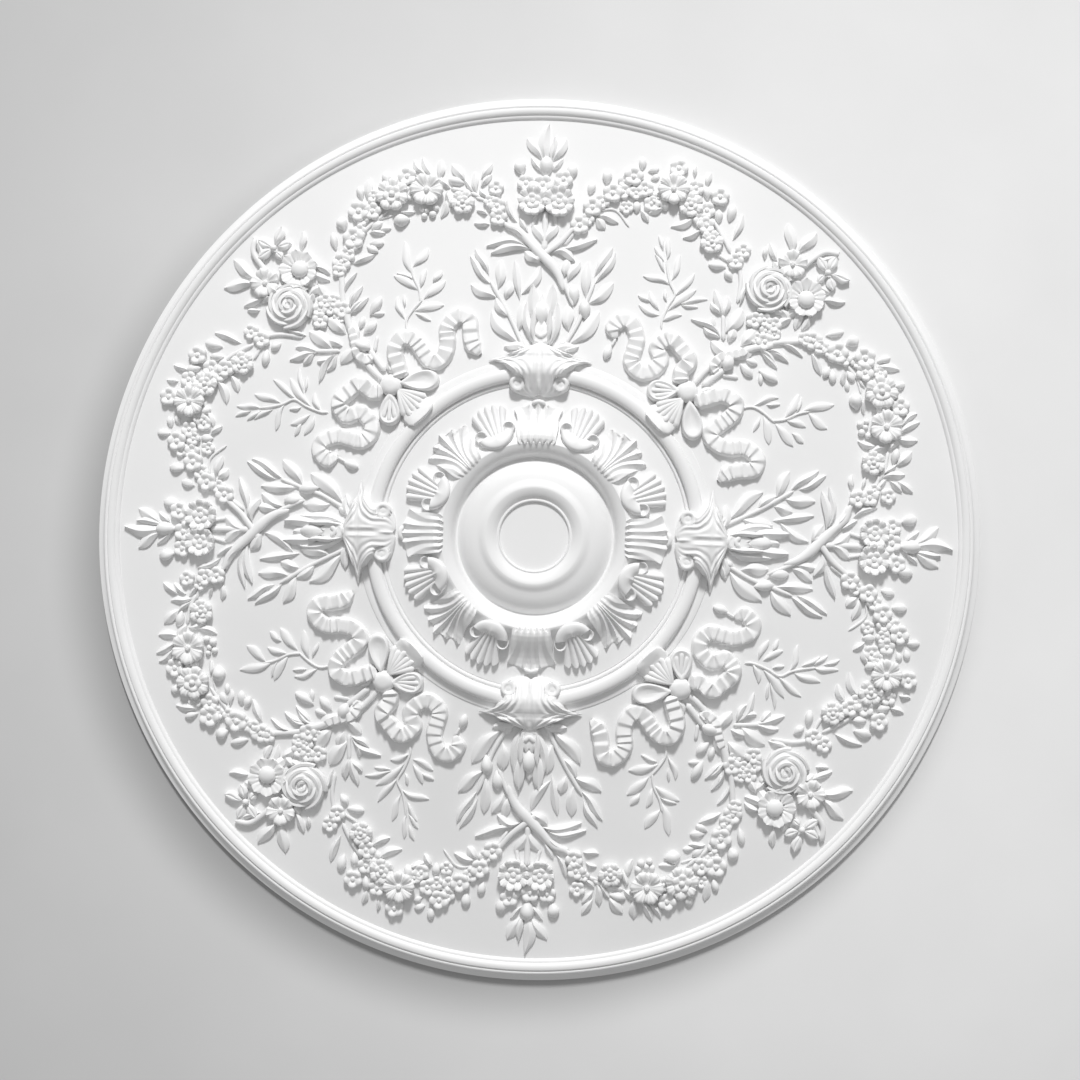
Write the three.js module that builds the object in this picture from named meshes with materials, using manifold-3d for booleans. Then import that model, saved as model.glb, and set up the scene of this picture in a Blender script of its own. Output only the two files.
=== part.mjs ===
// Round ceiling rose cast in one piece, in millimetres. The flat back lies on z = 0 with the
// origin at its middle, and +Z points out of the carved face. The ornament of a quarter of the
// disc is modelled once, with +Y towards an axis motif, and turned three more times.
import * as THREE from "three";
import { mergeVertices } from "three/addons/utils/BufferGeometryUtils.js";
import Module from "manifold-3d";

const wasm = await Module();
wasm.setup();

// Disc and rim
const ROSE_RADIUS = 475;
const EDGE_HEIGHT = 4.5;
const RIM_FILLET_OUTER = 466;
const RIM_FILLET_INNER = 461;
const RIM_FILLET_HEIGHT = 11.5;
const RIM_CREST_RADIUS = 457;
const RIM_CREST_HEIGHT = 16;
const FIELD_OUTER_RADIUS = 451;
const FIELD_OUTER_HEIGHT = 9.5;
const RIM_SEGMENTS = 48;

// Ring moulding on the cone
const RING_RADIUS = 172;
const RING_TUBE_RADIUS = 6.5;
const RING_CREST_HEIGHT = 50.5;
const RING_FILLET = 5.5;
const FIELD_INNER_RADIUS = RING_RADIUS + RING_TUBE_RADIUS + RING_FILLET;
const FIELD_INNER_HEIGHT = 39;
const INNER_FIELD_RADIUS = RING_RADIUS - RING_TUBE_RADIUS - RING_FILLET;
const INNER_FIELD_HEIGHT = 41;

// Dish, boss and the recess for the light fitting
const DISH_RADIUS = 72;
const DISH_HEIGHT = 43;
const BOSS_RADIUS = 66;
const BOSS_STEP_RADIUS = 60;
const BOSS_STEP_HEIGHT = 57;
const LIP_RADIUS = 49.5;
const LIP_HEIGHT = 62;
const RECESS_RADIUS = 37;
const RECESS_HEIGHT = 56.5;
const CENTRE_SEGMENTS = 32;

// Crown of leaves and shells round the dish
const CROWN_FOOT_RADIUS = 128;
const CROWN_FOOT_HEIGHT = 44;
const CROWN_RIM_RADIUS = 92;
const CROWN_RIM_HEIGHT = 62;
const HOOD_RADIUS = 102;
const HOOD_HEIGHT = 58;
const RIB_RADIUS = 118;
const RIB_HEIGHT = 49;
// Around one eighth of the crown from the middle of a leaf, with a shell halfway:
// radius of the edge, and how far the ribs and the hood above them stand out
const CROWN_LOBES = [
  [147, 5, 0],
  [130, 3, -2],
  [113, -4, -3],
  [136, 0, 5],
  [143, 3, 7],
  [136, 0, 5],
  [113, -4, -3],
  [130, 3, -2],
];
const EIGHTHS = 8;
const EIGHTH = 360 / EIGHTHS;

// Relief of the ornament above the surface that it lies on, and how deep it is rooted there
const ROOT_DEPTH = 3;
const EDGE_DEPTH = 1;
const LEAF_RELIEF = 6;
const STEM_RELIEF = 4;
const BUD_RELIEF = 8;
const BLOSSOM_RELIEF = 9;
const LARGE_FLOWER_RELIEF = 14;
const RIBBON_RELIEF = 8;
const OVERLAP = 6;
const MERGE_DISTANCE = 1e-3;
const QUARTERS = 4;

// Leaves and stems of a quarter: root x and y, tip x and y, width
const SMALL_BOUQUET_LEAVES = [
  [0, 404, 0, 445, 14],
  [-5, 404, -22, 428, 12],
  [5, 404, 19, 429, 12],
];
const CROSSING_LEAVES = [
  [-14, 307, -58, 306, 10],
  [14, 307, 58, 306, 10],
];
const LAUREL_LEAVES = [
  [-23, 204, -55, 239, 12],
  [-46, 253, -77, 267, 11],
  [-52, 262, -77, 302, 11],
  [-46, 258, -46, 294, 11],
  [-23, 242, -30, 292, 9],
  [31, 205, 61, 240, 14],
  [49, 249, 75, 271, 12],
  [52, 266, 75, 307, 11],
  [47, 252, 47, 294, 11],
];
const HUSK_LEAVES = [
  [-4, 200, -14, 258, 11],
  [4, 200, 14, 258, 11],
  [0, 218, 0, 284, 16],
];
const SPRIG_LEAVES = [
  [129, 292, 129, 324, 11],
  [135, 272, 106, 281, 9],
  [137, 256, 161, 285, 9],
  [130, 242, 163, 267, 10],
  [126, 236, 104, 251, 11],
  [236, 138, 244, 105, 9],
  [249, 128, 270, 104, 11],
  [258, 130, 275, 159, 10],
  [273, 138, 312, 146, 11],
];
const BOUQUET_LEAVES = [
  [263, 308, 260, 344, 13],
  [270, 308, 290, 335, 13],
  [192, 236, 181, 267, 11],
  [194, 212, 159, 235, 11],
  [278, 258, 266, 230, 13],
  [296, 262, 322, 261, 10],
];
const GARLAND_LEAVES = [
  [53, 345, 68, 334, 14],
  [166, 352, 135, 337, 10],
  [356, 193, 382, 190, 10],
  [382, 130, 404, 138, 14],
  [376, 104, 340, 112, 10],
  [362, 74, 398, 74, 11],
];
const STEMS = [
  [-60, 344, -5, 300, 10],
  [-9, 306, 34, 246, 11],
  [0, 284, 0, 346, 12],
  [150, 160, 198, 192, 20],
  [126, 216, 135, 292, 6],
  [200, 136, 282, 138, 6],
  [211, 298, 207, 246, 8],
  [376, 110, 358, 56, 8],
];

// Buds of a quarter: root x and y, tip x and y, width
const BUDS = [
  [0, 386, 0, 410, 16],
  [-26, 386, -31, 405, 13],
  [26, 384, 30, 403, 13],
  [34, 240, 33, 269, 14],
  [64, 378, 65, 396, 12],
  [102, 393, 102, 412, 11],
  [122, 367, 129, 349, 13],
  [197, 342, 204, 364, 13],
  [325, 210, 340, 224, 14],
  [308, 193, 303, 172, 14],
  [336, 137, 334, 164, 18],
  [212, 191, 226, 173, 13],
  [230, 188, 256, 172, 15],
];

// Small blossoms of a quarter: centre x and y, radius
const BLOSSOMS = [
  [-21, 381, 10],
  [20, 382, 10],
  [37, 334, 11],
  [50, 353, 12],
  [71, 370, 12],
  [93, 388, 12],
  [110, 368, 12],
  [141, 400, 10],
  [172, 356, 11],
  [184, 372, 10],
  [208, 305, 12],
  [265, 300, 13],
  [229, 235, 12],
  [241, 222, 12],
  [289, 215, 13],
  [315, 205, 13],
  [345, 200, 13],
  [384, 150, 10],
  [346, 50, 11],
];

// Large flowers of a quarter: centre x and y, radius
const LARGE_FLOWERS = [
  [-14, 360, 17],
  [14, 360, 17],
  [136, 377, 17],
  [156, 360, 14],
  [178, 322, 13],
  [362, 165, 18],
  [369, 128, 19],
  [356, 88, 14],
  [314, 293, 18],
  [280, 263, 19],
];
const ROSE = [241, 271, 23];
const BLOSSOM_SIDES = 5;
const PETALS = 5;
const PETAL_NOTCH = 0.7;
const WIDEST_PART = 0.42;
// Sections from the edge to the middle: part of the radius, part of the relief
const CONE_SECTION = [[0, 1]];
const ROSE_SECTION = [[0.85, 0.7], [0.4, 1], [0, 0.8]];

// Ribbons of a quarter: the points that each runs through
const RIBBON_WIDTH = 13;
const RIBBON_STEPS = 6;
const RIBBONS = [
  [[148, 160], [153, 190], [138, 205], [110, 177], [96, 190], [99, 212], [86, 229], [76, 210]],
  [[160, 146], [192, 156], [208, 142], [184, 113], [202, 101], [228, 94], [222, 78], [190, 65]],
];

// Bow at the middle of a quarter, in its own frame with +Y outwards from the rose's axis:
// root x and y, tip x and y, width
const BOW_RADIUS = 219;
const BOW_KNOT_RADIUS = 12;
const BOW_FOLDS = [
  [4, 4, 38, -28, 25],
  [-4, 4, -38, -28, 25],
  [-2, 0, -12, -52, 18],
  [2, 0, 12, -52, 18],
];

// Bracket that grips the ring on an axis: root x and y, tip x and y, width
const BRACKET_RELIEF = 11;
const BRACKET_FORMS = [
  [0, 204, 0, 142, 44],
  [10, 186, 57, 183, 15],
  [-10, 186, -57, 183, 15],
];
const VOLUTES = [
  [23, 159, 10],
  [-23, 159, 10],
];

const rad = THREE.MathUtils.degToRad;

// Plain surface under the ornament
function surfaceHeight(x, y) {
  const radius = Math.hypot(x, y);
  const ringSide = RING_CREST_HEIGHT - RING_TUBE_RADIUS / 2;
  const knots = [
    [CROWN_FOOT_RADIUS, CROWN_FOOT_HEIGHT],
    [INNER_FIELD_RADIUS, INNER_FIELD_HEIGHT],
    [RING_RADIUS - RING_TUBE_RADIUS, ringSide],
    [RING_RADIUS + RING_TUBE_RADIUS, ringSide],
    [FIELD_INNER_RADIUS, FIELD_INNER_HEIGHT],
    [FIELD_OUTER_RADIUS, FIELD_OUTER_HEIGHT],
  ];
  for (let i = 1; i < knots.length; i++) {
    const [r0, z0] = knots[i - 1];
    const [r1, z1] = knots[i];
    if (radius <= r1) return THREE.MathUtils.mapLinear(radius, r0, r1, z0, z1);
  }
  return FIELD_OUTER_HEIGHT;
}

// Closed shell whose faces share their corners
function shell(geometry) {
  geometry.deleteAttribute("normal");
  geometry.deleteAttribute("uv");
  return mergeVertices(geometry, MERGE_DISTANCE);
}

// Shell to solid and back
function solid(geometry) {
  const triVerts = [];
  for (let i = 0; i < geometry.index.count; i += 3) {
    const [a, b, c] = [0, 1, 2].map((k) => geometry.index.getX(i + k));
    if (a !== b && b !== c && c !== a) triVerts.push(a, b, c);
  }
  return new wasm.Manifold(
    new wasm.Mesh({
      numProp: 3,
      vertProperties: new Float32Array(geometry.attributes.position.array),
      triVerts: new Uint32Array(triVerts),
    })
  );
}

function geometryOf(manifold) {
  const mesh = manifold.getMesh();
  const geometry = new THREE.BufferGeometry();
  geometry.setAttribute("position", new THREE.BufferAttribute(mesh.vertProperties, 3));
  geometry.setIndex(new THREE.BufferAttribute(mesh.triVerts, 1));
  geometry.computeVertexNormals();
  return geometry;
}

function joined(parts) {
  return parts.reduce((sum, part) => sum.add(part));
}

function eachVertex(geometry, change) {
  const at = geometry.attributes.position;
  const point = new THREE.Vector3();
  for (let i = 0; i < at.count; i++) {
    change(point.fromBufferAttribute(at, i));
    at.setXYZ(i, point.x, point.y, point.z);
  }
  return geometry;
}

// Ornament is shaped above z = 0 and then laid on the surface
function laid(geometry) {
  eachVertex(geometry, (p) => {
    p.z += surfaceHeight(p.x, p.y);
  });
  return solid(geometry);
}

// Form turned about +Z from a profile of [radius, height]
function spunShell(profile, segments) {
  const points = profile.map(([radius, height]) => new THREE.Vector2(radius, height));
  return shell(new THREE.LatheGeometry(points, segments).rotateX(Math.PI / 2));
}

function spun(profile, segments) {
  return solid(spunShell(profile, segments));
}

// Disc with its rim and ring moulding
function discBody() {
  const ringFoot = RING_CREST_HEIGHT - RING_TUBE_RADIUS;
  return spun(
    [
      [0, 0],
      [ROSE_RADIUS, 0],
      [ROSE_RADIUS, EDGE_HEIGHT],
      [RIM_FILLET_OUTER, RIM_FILLET_HEIGHT],
      [RIM_FILLET_INNER, RIM_FILLET_HEIGHT],
      [RIM_CREST_RADIUS, RIM_CREST_HEIGHT],
      [FIELD_OUTER_RADIUS, FIELD_OUTER_HEIGHT],
      [FIELD_INNER_RADIUS, FIELD_INNER_HEIGHT],
      [RING_RADIUS + RING_TUBE_RADIUS, ringFoot],
      [RING_RADIUS, RING_CREST_HEIGHT],
      [RING_RADIUS - RING_TUBE_RADIUS, ringFoot],
      [INNER_FIELD_RADIUS, INNER_FIELD_HEIGHT],
      [CROWN_FOOT_RADIUS, CROWN_FOOT_HEIGHT],
      [0, CROWN_FOOT_HEIGHT - OVERLAP],
    ],
    RIM_SEGMENTS
  );
}

// Raised boss in the dish, with its recess
function bossBody() {
  const foot = DISH_HEIGHT - OVERLAP / 2;
  return spun(
    [
      [0, foot],
      [BOSS_RADIUS, foot],
      [BOSS_RADIUS, DISH_HEIGHT + EDGE_DEPTH],
      [BOSS_STEP_RADIUS, BOSS_STEP_HEIGHT],
      [LIP_RADIUS, LIP_HEIGHT],
      [RECESS_RADIUS, RECESS_HEIGHT],
      [0, RECESS_HEIGHT],
    ],
    CENTRE_SEGMENTS
  );
}

// Wall of the dish, whose outer side runs out in leaves and shells under curled hoods
function crownBody() {
  const foot = CROWN_FOOT_HEIGHT - OVERLAP * 2;
  const profile = [
    [0, foot],
    [CROWN_FOOT_RADIUS, foot],
    [CROWN_FOOT_RADIUS, CROWN_FOOT_HEIGHT],
    [RIB_RADIUS, RIB_HEIGHT],
    [HOOD_RADIUS, HOOD_HEIGHT],
    [CROWN_RIM_RADIUS, CROWN_RIM_HEIGHT],
    [DISH_RADIUS, DISH_HEIGHT],
    [0, DISH_HEIGHT],
  ];
  const lobes = CROWN_LOBES.length;
  const segments = EIGHTHS * lobes;
  const geometry = spunShell(profile, segments);
  return solid(
    eachVertex(geometry, (p) => {
      const radius = Math.hypot(p.x, p.y);
      const turn = Math.round((Math.atan2(p.x, p.y) / rad(EIGHTH)) * lobes);
      const [edge, rib, hood] = CROWN_LOBES[(turn + segments) % lobes];
      const reach = radius > CROWN_FOOT_RADIUS - EDGE_DEPTH ? edge / radius : 1;
      p.x *= reach;
      p.y *= reach;
      if (Math.abs(radius - RIB_RADIUS) < EDGE_DEPTH) p.z += rib;
      if (Math.abs(radius - HOOD_RADIUS) < EDGE_DEPTH) p.z += hood;
    })
  );
}

// Pointed leaf or bud with a ridge: four faces above the surface, widest nearer to its root
function pointed(x0, y0, x1, y1, width, relief) {
  const length = Math.hypot(x1 - x0, y1 - y0);
  const geometry = shell(new THREE.OctahedronGeometry(1));
  eachVertex(geometry, (p) => {
    const heights = [-ROOT_DEPTH, -EDGE_DEPTH, relief];
    const lengths = [0, WIDEST_PART * length, length];
    p.z = heights[Math.round(p.z) + 1];
    p.x = lengths[Math.round(p.x) + 1];
    p.y *= width / 2;
  });
  return geometry.rotateZ(Math.atan2(y1 - y0, x1 - x0)).translate(x0, y0, 0);
}

// Form turned about its own axis with its edge sunk in the surface, from a section of
// [part of the radius, part of the relief]
function turned(x, y, radius, relief, sides, section) {
  const points = section.map(([part, height]) => [part * radius, height * relief]);
  const geometry = spunShell([[0, -ROOT_DEPTH], [radius, -EDGE_DEPTH], ...points], sides);
  return geometry.translate(x, y, 0);
}

// Turned form whose outer circle is notched between its petals
function petalled(x, y, radius, relief, petals, section) {
  const geometry = turned(0, 0, radius, relief, petals * 2, section);
  eachVertex(geometry, (p) => {
    const turn = Math.round((Math.atan2(p.y, p.x) / Math.PI) * petals);
    const atNotch = Math.hypot(p.x, p.y) > radius * PETAL_NOTCH && turn % 2 !== 0;
    const part = atNotch ? PETAL_NOTCH : 1;
    p.x *= part;
    p.y *= part;
  });
  return geometry.translate(x, y, 0);
}

// Ribbon with a ridge, swept along a curve through its points
function ribbon(points) {
  const curve = new THREE.CatmullRomCurve3(points.map(([x, y]) => new THREE.Vector3(x, y, 0)));
  const section = new THREE.Shape();
  section.moveTo(EDGE_DEPTH, -RIBBON_WIDTH / 2);
  section.lineTo(EDGE_DEPTH, RIBBON_WIDTH / 2);
  section.lineTo(-RIBBON_RELIEF, 0);
  return shell(new THREE.ExtrudeGeometry(section, { steps: RIBBON_STEPS, extrudePath: curve }));
}

function bracket() {
  const relief = BRACKET_RELIEF + RING_TUBE_RADIUS;
  return [
    ...BRACKET_FORMS.map((form) => pointed(...form, BRACKET_RELIEF)),
    ...VOLUTES.map((place) => turned(...place, relief, BLOSSOM_SIDES, CONE_SECTION)),
  ];
}

function bow() {
  const forms = [
    ...BOW_FOLDS.map((fold) => pointed(...fold, LARGE_FLOWER_RELIEF)),
    turned(0, 0, BOW_KNOT_RADIUS, LARGE_FLOWER_RELIEF, BLOSSOM_SIDES, CONE_SECTION),
  ];
  return forms.map((form) => form.translate(0, BOW_RADIUS, 0).rotateZ(-rad(EIGHTH)));
}

function quarterOrnament() {
  const leaves = [
    ...SMALL_BOUQUET_LEAVES,
    ...CROSSING_LEAVES,
    ...LAUREL_LEAVES,
    ...HUSK_LEAVES,
    ...SPRIG_LEAVES,
    ...BOUQUET_LEAVES,
    ...GARLAND_LEAVES,
  ];
  const forms = [
    ...leaves.map((leaf) => pointed(...leaf, LEAF_RELIEF)),
    ...STEMS.map((stem) => pointed(...stem, STEM_RELIEF)),
    ...BUDS.map((bud) => pointed(...bud, BUD_RELIEF)),
    ...BLOSSOMS.map((place) => turned(...place, BLOSSOM_RELIEF, BLOSSOM_SIDES, CONE_SECTION)),
    ...LARGE_FLOWERS.map((place) => petalled(...place, LARGE_FLOWER_RELIEF, PETALS, CONE_SECTION)),
    turned(...ROSE, LARGE_FLOWER_RELIEF, PETALS, ROSE_SECTION),
    ...RIBBONS.map(ribbon),
    ...bracket(),
    ...bow(),
  ];
  return joined(forms.map(laid));
}

const quarter = quarterOrnament();
const pieces = [discBody(), crownBody(), bossBody()];
for (let i = 0; i < QUARTERS; i++) {
  pieces.push(quarter.rotate([0, 0, (-360 / QUARTERS) * i]));
}

const plaster = new THREE.MeshStandardMaterial({ color: 0xf2f2f0, roughness: 0.6, metalness: 0 });
const rose = new THREE.Mesh(geometryOf(joined(pieces)), plaster);
rose.name = "ceiling_rose";

const group = new THREE.Group();
group.add(rose);

export default group;
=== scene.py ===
# Round white ceiling rose with its fine relief, on a pale wall under soft studio light.
# Sizes are in millimetres in the model's frame until a piece is made. The ornament of one quarter is
# shaped above a flat plane, with +Y towards an axis motif, then laid on the cone and turned.
import math

import bpy
import numpy as np
from mathutils import Matrix, Vector


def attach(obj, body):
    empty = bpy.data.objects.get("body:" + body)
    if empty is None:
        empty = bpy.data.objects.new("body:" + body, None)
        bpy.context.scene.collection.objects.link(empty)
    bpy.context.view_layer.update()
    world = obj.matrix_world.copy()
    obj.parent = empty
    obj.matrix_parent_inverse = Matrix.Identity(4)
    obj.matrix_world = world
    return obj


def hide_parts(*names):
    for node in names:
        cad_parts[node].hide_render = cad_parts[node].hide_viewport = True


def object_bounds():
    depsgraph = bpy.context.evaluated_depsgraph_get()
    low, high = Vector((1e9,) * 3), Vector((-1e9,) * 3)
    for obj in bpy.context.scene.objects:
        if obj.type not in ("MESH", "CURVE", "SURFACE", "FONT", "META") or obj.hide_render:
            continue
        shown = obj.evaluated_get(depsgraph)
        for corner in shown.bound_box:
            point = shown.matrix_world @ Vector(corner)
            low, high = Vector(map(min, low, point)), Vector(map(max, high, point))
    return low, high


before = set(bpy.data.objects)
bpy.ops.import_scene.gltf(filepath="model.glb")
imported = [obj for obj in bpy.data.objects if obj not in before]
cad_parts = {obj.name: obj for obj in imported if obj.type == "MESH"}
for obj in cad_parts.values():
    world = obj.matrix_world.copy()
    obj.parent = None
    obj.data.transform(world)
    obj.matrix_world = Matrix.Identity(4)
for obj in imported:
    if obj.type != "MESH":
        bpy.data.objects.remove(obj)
cad_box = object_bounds()

MM = 0.001
TAU = 2 * math.pi
QUARTERS = 4
QUARTER_TURN = 360 / QUARTERS
EIGHTH_TURN = QUARTER_TURN / 2
DISC_RADIUS = round(cad_box[1][0] / MM)
# Hidden feet of the ornament: below the disc's surface, and for crown and brackets above the back
SINK = -2.5
CROWN_FOOT = 40
rng = np.random.default_rng(11)

# Profile of the disc from the middle of the recess to the back of the rim: radius, height
RECESS_PROFILE = [
    (0, 54.8), (35.8, 54.8), (36.1, 56.6), (36.8, 57.7), (37.8, 57.8), (38.6, 57.3), (39.4, 57.4),
]
LIP_PROFILE = [(42, 59.7), (45, 61.3), (48, 62.3), (50.2, 62.8), (50.8, 62.8), (53, 62.3), (55.5, 61.1)]
BOSS_PROFILE = [
    (57.6, 59.7), (60, 59), (64, 58.2), (68, 56.9), (71.5, 55.1), (75, 52.6), (78, 49.5), (80.2, 47),
    (81.6, 45.7),
]
DISH_PROFILE = [
    (82.6, 45.7), (83.6, 46.8), (84.6, 49), (85.6, 51.6), (86.8, 54.1), (88.4, 56.2), (90.8, 58.2),
    (94, 59.9), (97.2, 60.9),
]
CROWN_PROFILE = [
    (98, 60.7), (99.5, 60.2), (102, 57.6), (106, 54), (111, 50.5), (117, 47.5), (122, 45.4), (127, 44.3),
    (131, 43.7),
]
RING_INNER_PROFILE = [
    (158, 41.3), (159, 41.2), (159.7, 40.4), (160.3, 41.6), (161.2, 42.5), (162.6, 42.6),
    (163.6, 41.9), (164.3, 40.8), (165, 41.6),
]
RING_RADIUS, RING_HEIGHT, RING_TUBE = 172, 43.2, 7
RING_FLATNESS, RING_SHOULDER = 0.74, 0.8
RING_POINTS = 17
RING_OUTER_PROFILE = [
    (179.2, 41.6), (179.9, 40.4), (180.6, 40.5), (186.6, 40), (187.6, 39.5), (188.3, 38.5),
]
FIELD_PROFILE = [(250, 31.7), (350, 20.7), (449.6, 9.6)]
RIM_PROFILE = [
    (450.6, 9.5), (451.2, 10.6), (452.4, 11.5), (453.8, 11.9), (454.8, 11.8), (455.4, 12.5),
    (456.6, 13.5), (458.4, 14.1), (460.4, 14.2), (462.2, 13.7), (463, 12.6), (463.5, 11.5),
    (464.1, 12.1), (465.2, 12.4), (466.4, 12), (467.2, 10.8), (467.8, 9.2), (468.6, 8.1),
    (469.8, 7.1), (471.2, 6.4), (473.4, 5.4), (474.6, 4.9), (DISC_RADIUS, 4.2), (DISC_RADIUS, 0), (0, 0),
]
DISC_COLUMNS = 288

# Plain surface that the ornament is laid on: radius, height
GROUND_RADII = [0, 97, 99.5, 102, 106, 111, 117, 122, 127, 131, 160, 165, 172, 179, 186, 451]
GROUND_HEIGHTS = [60.6, 60.6, 60, 57.6, 54, 50.5, 47.5, 45.4, 44.3, 43.7, 41.3, 45, 49, 45, 39.5, 9.5]


def ground(radius):
    return np.interp(radius, GROUND_RADII, GROUND_HEIGHTS)


def part_way(value, start, end):
    """How far a value has come from start to end, held between 0 and 1."""
    return np.clip((value - start) / (end - start), 0, 1)


def ridge(distance, width):
    """Round ridge: 1 in its middle, falling off over its width."""
    return np.exp(-((distance / width) ** 2))


def dome(part):
    """Height of a round dome, from 1 in its middle to 0 at a part of 1."""
    return np.sqrt(np.clip(1 - part**2, 0, 1))


def around(count):
    """Angles of a full turn, in one row."""
    return np.linspace(0, TAU, count, endpoint=False)[None, :]


def level_circle(x, y, radius, height, count):
    phi = around(count)[0]
    return np.stack([x + radius * np.cos(phi), y + radius * np.sin(phi), height + 0 * phi], -1)


def lowered(rows):
    """Copy of points, moved down to the crown's foot."""
    low = rows.copy()
    low[..., 2] = CROWN_FOOT
    return low


def turned(rows, degrees):
    """Points turned clockwise about +Z."""
    a = math.radians(degrees)
    x, y = rows[..., 0], rows[..., 1]
    out = rows.copy()
    out[..., 0] = x * math.cos(a) + y * math.sin(a)
    out[..., 1] = y * math.cos(a) - x * math.sin(a)
    return out


class Form:
    """Sheets of points that together make one piece."""

    def __init__(self):
        self.points = []
        self.faces = []
        self.size = 0

    def add(self, rows, ring=False, flip=False, turn=0):
        """A sheet of points; with ring, each row closes on itself. turn is clockwise, in degrees."""
        rows = turned(np.array(rows, float), turn)
        height, width = rows.shape[:2]
        index = np.arange(height * width).reshape(height, width) + self.size
        here, right = (index, np.roll(index, -1, 1)) if ring else (index[:, :-1], index[:, 1:])
        corners = [here[:-1], here[1:], right[1:], right[:-1]]
        if flip:
            corners.reverse()
        self.faces.append(np.stack(corners, -1).reshape(-1, 4))
        self.points.append(rows.reshape(-1, 3))
        self.size += height * width

    def lay(self, rows, ring=False, flip=False):
        """A sheet shaped above a flat plane, laid on the disc."""
        rows = np.array(rows, float)
        rows[..., 2] += ground(np.hypot(rows[..., 0], rows[..., 1]))
        self.add(rows, ring, flip)


# Steps of a smooth curve between two of its given points
SPAN_STEPS = 16


def smooth_path(points, count):
    """Evenly spaced points on a smooth curve through the given ones, and the curve's length in plan."""
    p = np.array(points, float)
    p = np.vstack([2 * p[0] - p[1], p, 2 * p[-1] - p[-2]])
    spans = len(p) - 3
    u = np.linspace(0, spans, spans * SPAN_STEPS + 1)
    i = np.minimum(u.astype(int), spans - 1)
    t = (u - i)[:, None]
    a, b, c, d = p[i], p[i + 1], p[i + 2], p[i + 3]
    square = 2 * a - 5 * b + 4 * c - d
    cube = 3 * b - a - 3 * c + d
    curve = 0.5 * (2 * b + (c - a) * t + square * t**2 + cube * t**3)
    steps = np.hypot(*np.diff(curve[:, :2], axis=0).T)
    run = np.concatenate([[0], np.cumsum(steps)])
    at = np.linspace(0, run[-1], count)
    return np.stack([np.interp(at, run, curve[:, k]) for k in range(curve.shape[1])], 1), run[-1]


def length_of(points):
    """Length in plan of the straight lines between points."""
    p = np.array(points, float)[:, :2]
    return float(np.hypot(*np.diff(p, axis=0).T).sum())


def sideways(path):
    """Unit directions to the left of a path in plan."""
    along = np.gradient(path[:, :2], axis=0)
    along /= np.linalg.norm(along, axis=1)[:, None] + 1e-9
    return np.stack([-along[:, 1], along[:, 0]], 1)


def placed(x, y, z, x0, y0, x1, y1):
    """Points along and across a line from root to tip, put on that line in plan."""
    length = math.hypot(x1 - x0, y1 - y0)
    ux, uy = (x1 - x0) / length, (y1 - y0) / length
    return np.stack([x0 + ux * x - uy * y, y0 + uy * x + ux * y, z], -1)


# Forms of the ornament. A leaf: its points along and across, where its edges turn under, the part of
# its height that its edges have, the width of its furrow, and the most it bends and sways by chance
LEAF_ROWS, LEAF_COLUMNS = 15, 9
LEAF_UNDERCUT = 0.75
LEAF_EDGE = 0.4
LEAF_FURROW = 0.22
LEAF_BEND, LEAF_SWAY = 0.06, 0.03


def leaf(
    form, x0, y0, x1, y1, width, bend=None,
    relief=6, lift=0, tip=0.3, groove=0, blunt=0.4, rise=0,
):
    """Leaf with a crisp fold along its middle, a slight double bend and undercut edges.

    relief is its height, lift how high it starts, tip how much of its height is left at the tip,
    groove how deep it is furrowed, blunt how round its tip is, and rise how far its tip is lifted.
    """
    length = math.hypot(x1 - x0, y1 - y0)
    if bend is None:
        bend = rng.uniform(-LEAF_BEND, LEAF_BEND)
    sway = rng.uniform(-LEAF_SWAY, LEAF_SWAY)
    t = np.linspace(0, 1, LEAF_ROWS)[:, None]
    across = np.linspace(-1, 1, LEAF_COLUMNS)
    s = np.concatenate([[-LEAF_UNDERCUT], across, [LEAF_UNDERCUT]])[None, :]
    half = width / 2 * np.sin(math.pi * t ** (0.92 + blunt)) ** (0.9 - 0.4 * blunt)
    arch = np.sin(math.pi * np.minimum(t * 1.3, 0.5)) * (1 - (1 - tip) * t**2.5)
    fold = 1 - np.abs(s) ** 1.08
    z = lift + rise * t + relief * arch * (LEAF_EDGE + (1 - LEAF_EDGE) * fold)
    z -= relief * groove * arch * ridge(s, LEAF_FURROW)
    z[:, [0, -1]] = SINK
    x = length * t + 0 * s
    y = s * half + length * (bend * np.sin(math.pi * t) + sway * np.sin(TAU * t))
    form.lay(placed(x, y, z, x0, y0, x1, y1))


BUD_ROWS, BUD_COLUMNS = 15, 20
# How far the seams of a bud cut into its radius
BUD_SEAM = 0.16


def bud(form, x0, y0, x1, y1, width, lift=None, seams=3):
    """Closed bud, thicker towards its tip, with seams between its petals."""
    length = math.hypot(x1 - x0, y1 - y0)
    phase = rng.uniform(0, TAU)
    t = (1 - np.cos(np.linspace(0, math.pi, BUD_ROWS)))[:, None] / 2
    phi = around(BUD_COLUMNS)
    seam = np.abs(np.cos(seams / 2 * (phi + phase) + t)) ** 0.5
    radius = width / 2 * np.sin(math.pi * t**1.2) ** 0.7 * (1 - BUD_SEAM + BUD_SEAM * seam)
    centre = width * 0.12 if lift is None else lift
    z = centre + radius * np.sin(phi)
    y = radius * np.cos(phi)
    form.lay(placed(length * t + 0 * phi, y, z, x0, y0, x1, y1), ring=True, flip=True)


BALL_ROWS, BALL_COLUMNS = 9, 16


def ball(form, x, y, radius, lift=None):
    t = np.linspace(0, 1, BALL_ROWS)[:, None] * math.pi
    phi = around(BALL_COLUMNS)
    centre = radius * 0.4 if lift is None else lift
    out = radius * np.sin(t)
    z = centre + radius * np.cos(t) + 0 * phi
    form.lay(np.stack([x + out * np.cos(phi), y + out * np.sin(phi), z], -1), ring=True)


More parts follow.
